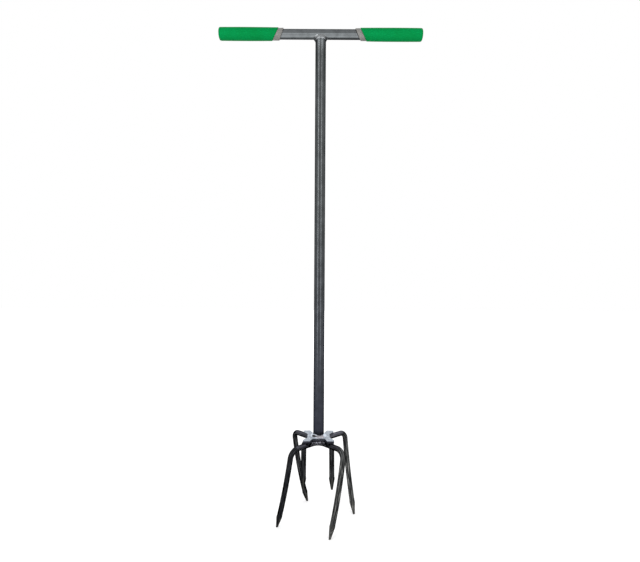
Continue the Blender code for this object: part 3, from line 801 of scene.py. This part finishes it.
def makeRod(row, corners, radii):
    # A round bar swept along its bent centreline and drawn out at both ends to a blunt four-sided
    # point, with marks for the painted light on its right-hand part, the painted sheen on its top,
    # its worn points and the painted glints on its crown
    path = bentPath(corners, radii)
    lengths = [0.0]
    for before, here in zip(path, path[1:]):
        lengths.append(lengths[-1] + (here - before).length)
    total = lengths[-1]
    stations = rodStations(lengths)
    centres = placesAlong(path, lengths, stations)
    tangents, sides, leftOver = sectionTurns(centres)
    circle = circlePoints(rods["sides"])
    rising, level = rods["levelSlope"]
    front, low = spatter["facing"]
    rings, marks = [], {"wear": [], "thin": [], "arm": [], "spatter": []}
    for place, centre, tangent, side in zip(stations, centres, tangents, sides):
        side = Matrix.Rotation(leftOver * place / total + pi / 4, 3, tangent) @ side
        other = tangent.cross(side)
        fromEnd = min(place, total - place)
        half, power = forgedSection(fromEnd)
        forged = clamped((points["length"] + points["shoulder"] - fromEnd) / points["shoulder"])
        levelled = clamped(1 - fromEnd / points["levelled"])
        # Painted sheen on top of the level arms
        paintedSheen = rods["paintedSheen"][row][centre.x > 0]
        paintedSheen *= clamped((rising - abs(tangent.z)) / (rising - level))
        # Painted glints near the crown, on what faces the front
        glinted = clamped(1 - abs(centre.x) / spatter["reach"]) ** spatter["fade"]
        ring, wear, arm, glints = [], [], [], []
        for c, s in circle:
            reach = half / (abs(c) ** power + abs(s) ** power) ** (1 / power)
            spot = centre + side * (reach * c) + other * (reach * s)
            dent = noise.noise(spot * every(points["dentSize"])) - points["dentInward"]
            reach += points["dent"] * forged * (1 - levelled) * dent
            offset = side * (reach * c) + other * (reach * s)
            if levelled:
                offset -= tangent * (levelled * offset.z / tangent.z)
            facing = offset.normalized()
            corner = points["wornCorner"] * (2 * abs(c * s)) ** 3
            ring.append(centre + offset)
            wear.append(forged * max(corner, 1 - fromEnd / points["wornEnd"]))
            arm.append(paintedSheen * clamped(rods["paintedSheenDown"] + facing.z))
            glints.append(glinted * (facing.y < front and facing.z > low))
        # Painted light on the right-hand part of the rod
        thin = min(1.0, (place / total - rods["paintedLightFrom"][row]) / rods["paintedLightBlend"])
        rings.append(ring)
        marks["wear"].append(wear)
        marks["thin"].append([max(rods["paintedLightLeast"][row], thin)] * len(ring))
        marks["arm"].append(arm)
        marks["spatter"].append(glints)
    finishMesh(row + "TineRod", loftRings(rings, marks=marks), [lacquer],
               [row + "_tine_rod"])


def outerTine(name):
    # Corner where an outer tine turns down, the swept middle of the tine, and its tip
    distance, degrees, tipDistance, tipDegrees, bow = rods[name]
    shoulder, tip = polar(distance, degrees, rodZ), polar(tipDistance, tipDegrees, 0)
    middle = (shoulder + tip) / 2
    backwards = up.cross(Vector((middle.x, middle.y, 0)).normalized())
    return shoulder, middle + backwards * bow, tip


def rodCrown(row):
    sign = -1 if row == "front" else 1
    return Vector((0, sign * rods["crownOffset"], rodZ))


def makeOuterRod(row):
    bend = rods["shoulderBend"][row]
    left, right = outerTine(row + "Left"), outerTine(row + "Right")
    sweeps = []
    for shoulder, middle, tip in (left, right):
        turn = (middle - shoulder).angle(tip - middle)
        room = (middle - shoulder).length - bend * rods["bendReserve"]
        sweeps.append(room / tan(turn / 2))
    makeRod(row, [*reversed(left), rodCrown(row), *right],
            [sweeps[0], bend, rods["crownBend"], bend, sweeps[1]])


def makeInnerRod():
    top, tips, low = rods["innerTop"] / 2, rods["innerTips"] / 2, rodZ - rods["innerDrop"]
    middle = rods["innerOffset"]
    corners = [Vector((middle - tips, 0, low)), Vector((middle - top, 0, rodZ)),
               Vector((middle + top, 0, rodZ)), Vector((middle + tips, 0, low))]
    makeRod("inner", corners, [rods["innerBend"], rods["innerBend"]])


makeOuterRod("front")
makeOuterRod("rear")
makeInnerRod()
print("bent rods made")


# Weld beads

beads = {
    "stations": 264,
    "steps": 8,  # points across a bead's face
    "sink": 0.05 * mm,  # how far a bead's toes run into what they join
    "sharp": 70,
    "sideFrom": 0.70,  # a bead's two sides start at this share of its radius
}
footBead = {
    "leg": 5.2 * mm,
    "height": 4.2 * mm,
    "profile": ((0.34, 0.82), (0.80, 0.62)),  # shares of leg and height on the way down
    "steps": 12,
    "ripples": 33,
    "ripple": 0.30 * mm,
    "unevenness": 0.5 * mm,
    "waves": 2.2,
    "paintedWeldGlintFade": 0.15,
    "paintedWeldGlintRim": 0.2,  # share of the face, at its top and its toe, that gets the painted highlight at the pocket
    "paintedWeldGlintNear": 3.0,  # how fast that starts on the way to the pocket's middle
    # unfilled pocket in the bead, left of the pole's front
    "pocketDegrees": 226.0,
    "pocketWidth": 36.0,  # degrees to each side
    "pocketAcross": (0.62, 0.44),  # its middle and half width, as shares of the face
    "pocketDepth": 2.2 * mm,
    "pocketFloor": 1.6,  # the higher, the wider its floor
    "pocketRise": 1.6 * mm,  # how far the bead's top edge peaks over the pocket
    "pocketShading": (5.0, 0.50),  # how fast the painted shade gets dark towards the pocket's middle, and from where
}
barBead = {
    "leg": (5.0 * mm, 3.6 * mm),  # on the left and on the right
    "frontDrop": 2.8 * mm,
    "wrap": 64.0,  # degrees that the bead climbs round the crossbar
    "lift": 0.9 * mm,  # how far it stands out from the pole
    "lip": 0.15 * mm,  # and from the crossbar
    "lipRipple": 0.3,
    "toe": 0.4 * mm,
    "root": 1.9 * mm,
    "face": (0.99, 0.98),  # where face and toe end, along the bar and round it
    "toeEnd": (1.04, 1.07),
    "fullness": (0.20, 0.55),  # at the two sides, and in front and behind
    "ripples": 26,
    "ripple": 0.22 * mm,
    "run": 0.9,  # share of painted shade at the bead's two sides
    "paintedShadeFade": 0.20,
}
rodBead = {
    "length": 13.0 * mm,
    "leg": 4.4 * mm,
    "profile": ((0.30, 0.10), (0.62, 0.55)),  # shares of the leg, and of the height at each
    "toeTurn": -8.0,  # degrees round the rod
    "root": (0.50, 0.72, 0.60),  # the hidden back, in shares of the rod's radius
    "leastFull": 0.12,  # what is left of the section at both ends
    "ripples": 7,
    "ripple": 0.16 * mm,
    "rippleSteps": 6,
    "outerStart": 24.0 * mm,
    "innerStart": 4.0 * mm,
}


def scallop(turns):
    # One ripple of a wire-fed bead, from -0.5 to 0.5: a steep leading edge and a long back
    share = turns % 1
    return share * (1 - share) ** 0.5 * 2.6 - 0.5


def makeFootWeld():
    rings, marks = [], {"pocket": [], "zinc": []}
    floor, sink = plateHigh.z, beads["sink"]
    middle, halfWidth = footBead["pocketAcross"]
    steepness, start = footBead["pocketShading"]
    for i in range(beads["stations"]):
        share = i / beads["stations"]
        angle = tau * share
        c, s = cos(angle), sin(angle)
        swell = footBead["ripple"] * scallop(footBead["ripples"] * share)
        swell += noise.noise(Vector((c, s, 0.3)) * footBead["waves"]) * footBead["unevenness"]
        away = abs((degrees(angle) - footBead["pocketDegrees"] + 180) % 360 - 180)
        near = clamped(1 - away / footBead["pocketWidth"])
        side = clamped((abs(c) - beads["sideFrom"]) / footBead["paintedWeldGlintFade"])
        leg = footBead["leg"] + swell
        height = footBead["height"] + swell + footBead["pocketRise"] * near
        controls = [Vector((poleRadius - sink, 0, floor + height))]
        controls += [Vector((poleRadius + leg * out, 0, floor + height * rise))
                     for out, rise in footBead["profile"]]
        controls.append(Vector((poleRadius + leg + gap, 0, floor - sink)))
        places = bezierPoints(controls, footBead["steps"])
        pocketShading, zinc = [], []
        for k, place in enumerate(places):
            across = k / footBead["steps"]
            hollow = near * clamped(1 - abs(across - middle) / halfWidth)
            sunk = footBead["pocketDepth"] * clamped(hollow * footBead["pocketFloor"])
            place.x = max(poleRadius - sink, place.x - sunk)
            # Painted shade in the pocket; painted highlights round it and on the bead's sides
            pocketShading.append(clamped(hollow * steepness - start))
            rim = min(across, 1 - across) < footBead["paintedWeldGlintRim"]
            zinc.append(max(side, clamped(near * footBead["paintedWeldGlintNear"]) * rim))
        places.append(Vector((poleRadius - sink, 0, floor - sink)))
        rings.append([Vector((place.x * c, place.x * s, place.z)) for place in places])
        marks["pocket"].append(pocketShading + [0.0])
        marks["zinc"].append(zinc + [side])
    finishMesh("footWeld", loftRings(rings, looped=True, marks=marks), [bareWeld],
               ["pole_foot_weld"], beads["sharp"])


def onBar(radius, x, wrap):
    return Vector((x, radius * sin(wrap), barZ - radius * cos(wrap)))


def makeBarWeld():
    # A saddle-shaped bead that climbs from the crossbar's underside round its front and back
    rings, paintedShades = [], []
    seat, sink = barZ - barRadius, beads["sink"]
    inside = poleRadius - 2 * sink
    for i in range(beads["stations"]):
        share = i / beads["stations"]
        c, s = cos(tau * share), sin(tau * share)
        swell = barBead["ripple"] * scallop(barBead["ripples"] * share)
        leg = barBead["leg"][0] * (1 - c) / 2 + barBead["leg"][1] * (1 + c) / 2 + swell
        low = seat - leg * c * c - barBead["frontDrop"] * s * s
        wrap = radians(barBead["wrap"]) * s
        along = (poleRadius + leg) * c
        out = poleRadius + barBead["lift"] + swell
        lip = barBead["lip"] + barBead["lipRipple"] * swell
        toeLow = Vector(((poleRadius - sink) * c, (poleRadius - sink) * s, low - barBead["toe"]))
        faceLow = Vector((out * c, out * s, low + barBead["toe"]))
        faceHigh = onBar(barRadius + lip, along * barBead["face"][0], wrap * barBead["face"][1])
        toeHigh = onBar(barRadius - sink, along * barBead["toeEnd"][0], wrap * barBead["toeEnd"][1])
        corner = Vector((faceLow.x, faceLow.y, faceHigh.z))
        fullness = barBead["fullness"][0] * c * c + barBead["fullness"][1] * s * s
        middleLow = faceLow.lerp(faceHigh, 1 / 3).lerp(faceLow.lerp(corner, 1 / 2), fullness)
        middleHigh = faceLow.lerp(faceHigh, 2 / 3).lerp(corner.lerp(faceHigh, 1 / 10), fullness)
        face = bezierPoints([faceLow, middleLow, middleHigh, faceHigh], beads["steps"])
        root = Vector((inside * c, inside * s, seat + 2 * sink + barBead["root"] * s * s))
        ring = [toeLow, *face, toeHigh, root]
        # Painted shade at the bead's two sides, along the crossbar's underside
        run = barBead["run"] * clamped((abs(c) - beads["sideFrom"]) / barBead["paintedShadeFade"])
        rings.append(ring)
        paintedShades.append([run] * len(ring))
    finishMesh("crossbarWeld", loftRings(rings, looped=True, marks={"run": paintedShades}), [beadEnamel],
               ["crossbar_weld"], beads["sharp"])


def makeRodWeld(row, hand, start, direction, side, begin):
    # A short bead in the corner between a rod and the plate's underside, thin at both ends
    direction, side = direction.normalized(), side.normalized()
    radius, leg, sink = rods["radius"], rodBead["leg"], beads["sink"]
    inner, ceiling = radius - sink, plateLow.z - start.z
    turn = radians(rodBead["toeTurn"])
    (out, rise), (farOut, farRise) = rodBead["profile"]
    backOut, rootOut, rootRise = rodBead["root"]
    pinch = side * (radius * backOut) + up * ceiling
    rings = []
    count = rodBead["ripples"] * rodBead["rippleSteps"]
    for i in range(count + 1):
        share = i / count
        middle = start + direction * (begin + rodBead["length"] * share)
        full = max(rodBead["leastFull"], (1 - abs(2 * share - 1) ** 3) ** 0.5)
        swell = rodBead["ripple"] * scallop(rodBead["ripples"] * share) * full
        controls = [side * (inner * cos(turn)) + up * (inner * sin(turn)),
                    side * (radius + leg * out + swell) + up * (radius * rise),
                    side * (radius + leg * farOut + swell) + up * (ceiling * farRise),
                    side * (radius + leg) + up * (ceiling + sink)]
        face = bezierPoints(controls, beads["steps"])
        back = [side * (radius * backOut) + up * (ceiling + sink),
                side * (radius * rootOut) + up * (radius * rootRise)]
        rings.append([middle + pinch.lerp(place, full) for place in face + back])
    finishMesh(row + "RodWeld" + hand, loftRings(rings), [lacquer],
               [row + "_rod_weld_" + hand.lower()], beads["sharp"])


makeFootWeld()
makeBarWeld()
for row in ("front", "rear"):
    crown = rodCrown(row)
    for hand in ("Left", "Right"):
        arm = outerTine(row + hand)[0] - crown
        beside = arm.cross(up)
        if beside.y * crown.y < 0:  # the bead is on the side that faces away from the pole
            beside.negate()
        makeRodWeld(row, hand, crown, arm, beside, rodBead["outerStart"])
innerMiddle = Vector((rods["innerOffset"], 0, rodZ))
for hand, sign in (("Left", -1), ("Right", 1)):
    makeRodWeld("inner", hand, innerMiddle, Vector((sign, 0, 0)), Vector((0, -sign, 0)),
                rodBead["innerStart"])
print("weld beads made")


# Floor, backdrop and lamps

studio = {
    "floorColour": "#ececec",
    "floorSize": 14.0,
    "floorDrop": 0.1 * mm,  # below the tips, so that the two surfaces don't flicker
    "floorGlow": (0.32, 1.0),  # what is seen on top of the lit floor, near and far
    "glowFrom": (0.35, 1.9),  # metres from the tool
    "white": "#ffffff",
    "airLight": 0.46,  # even light from all round
    # height aimed at on the pole's axis, degrees round from the camera's side and up from there,
    # metres away, size, watts and spread. The head's box hangs below the handle, so that it lights
    # the head alone, and the last two have beams so narrow that the pole doesn't mirror them.
    "lamps": {"leftStrip": (1.26, -38.0, 0.0, 1.6, (0.28, 2.40), 10.5, 180.0),
              "rightStrip": (1.26, 29.0, 0.0, 1.6, (0.28, 2.40), 8.0, 180.0),
              "headBox": (0.0, 0.0, 90.0, 0.92, (1.40, 1.40), 3.6, 130.0),
              "frontBox": (0.82, 0.0, 0.0, 2.2, (3.20, 1.60), 14.0, 180.0),
              "handleFront": (barZ, 0.0, -12.0, 0.90, (1.40, 0.40), 0.10, 44.0),
              "handleBelow": (barZ, 0.0, -72.0, 0.60, (1.40, 0.50), 0.36, 80.0)},
    "unmirrored": "frontBox",  # even light only, with no box mirrored in the paint
}


def seenDirectly(add):
    # 1 for the camera's rays and those that metal, gloss or glass sends on, 0 for spread light
    rays = add("LightPath").outputs
    either = add("Math", {"operation": "MAXIMUM"},
                 {0: rays["Is Camera Ray"], 1: rays["Is Glossy Ray"]})
    return add("Math", {"operation": "MAXIMUM"}, {0: either, 1: rays["Is Transmission Ray"]})


def makeFloor():
    half = studio["floorSize"] / 2
    corners = [(-half, -half, 0), (half, -half, 0), (half, half, 0), (-half, half, 0)]
    mesh = bpy.data.meshes.new("studioFloor")
    mesh.from_pydata(corners, [], [(0, 1, 2, 3)])
    floor = bpy.data.objects.new("studioFloor", mesh)
    floor.location.z = -studio["floorDrop"]
    scene.collection.objects.link(floor)
    material, add, place = newFinish(
        "pale studio floor, matt paint", Roughness=0.9, Specular_IOR_Level=0.0,
        Base_Color=linearColour(studio["floorColour"]), Emission_Color=linearColour(studio["white"]))
    away = add("VectorMath", {"operation": "LENGTH"}, {0: place}).outputs["Value"]
    (near, far), (faint, full) = studio["glowFrom"], studio["floorGlow"]
    glow = add("MapRange", {"From Min": near, "From Max": far, "To Min": faint,
                            "To Max": full}, {"Value": away})
    seen = add("Math", {"operation": "MULTIPLY"}, {0: seenDirectly(add), 1: glow})
    feedNode(material.node_tree.nodes["Principled BSDF"], {"Emission Strength": seen})
    mesh.materials.append(material)


def makeAir():
    world = bpy.data.worlds.new("pale studio")
    world.use_nodes = True
    add = partial(addNode, world.node_tree)
    strength = add("MapRange", {"To Min": studio["airLight"], "To Max": 1.0},
                   {"Value": seenDirectly(add)})
    air = world.node_tree.nodes["Background"]
    air.inputs["Color"].default_value = linearColour(studio["white"])
    feedNode(air, {"Strength": strength})
    scene.world = world


def makeLamp(name, height, degreesRound, degreesUp, away, size, watts, spread):
    light = bpy.data.lights.new(name, "AREA")
    light.shape = "RECTANGLE"
    light.size, light.size_y = size
    light.energy = watts
    light.spread = radians(spread)
    lamp = bpy.data.objects.new(name, light)
    turn, rise = radians(degreesRound), radians(degreesUp)
    place = (sin(turn) * cos(rise) * away, -cos(turn) * cos(rise) * away,
             height + sin(rise) * away)
    aim = Vector((0, 0, height)) - Vector(place)
    lamp.location = place
    lamp.rotation_euler = aim.to_track_quat("-Z", "Y").to_euler()
    lamp.visible_camera = False
    lamp.visible_glossy = name != studio["unmirrored"]
    scene.collection.objects.link(lamp)


makeFloor()
makeAir()
for name, values in studio["lamps"].items():
    makeLamp(name, *values)
print("studio made")


# Camera at the photograph's place: level with the tool's middle, so that the handle is seen from
# below and the head from above

camera = {
    "place": (1.26 * mm, -910.47 * mm, 497.05 * mm),
    "tiltDegrees": 0.330,  # nose down is negative
    "rollDegrees": 0.316,
    "sensor": 36.0,
    "focalShare": 430.28 / 640,  # focal length over the image's width, both in pixels
    "clip": (0.01, 50.0),
}


def makeCamera():
    data = bpy.data.cameras.new("photoCamera")
    data.sensor_fit = "HORIZONTAL"
    data.sensor_width = camera["sensor"]
    data.lens = camera["focalShare"] * camera["sensor"]
    data.clip_start, data.clip_end = camera["clip"]
    eye = bpy.data.objects.new("photoCamera", data)
    eye.matrix_world = (Matrix.Translation(camera["place"])
                        @ Matrix.Rotation(radians(camera["tiltDegrees"]), 4, "X")
                        @ Matrix.Rotation(pi / 2, 4, "X")
                        @ Matrix.Rotation(radians(camera["rollDegrees"]), 4, "Z"))
    scene.collection.objects.link(eye)
    scene.camera = eye


makeCamera()
scene.view_settings.view_transform = "Standard"

bpy.context.view_layer.update()
print("done")
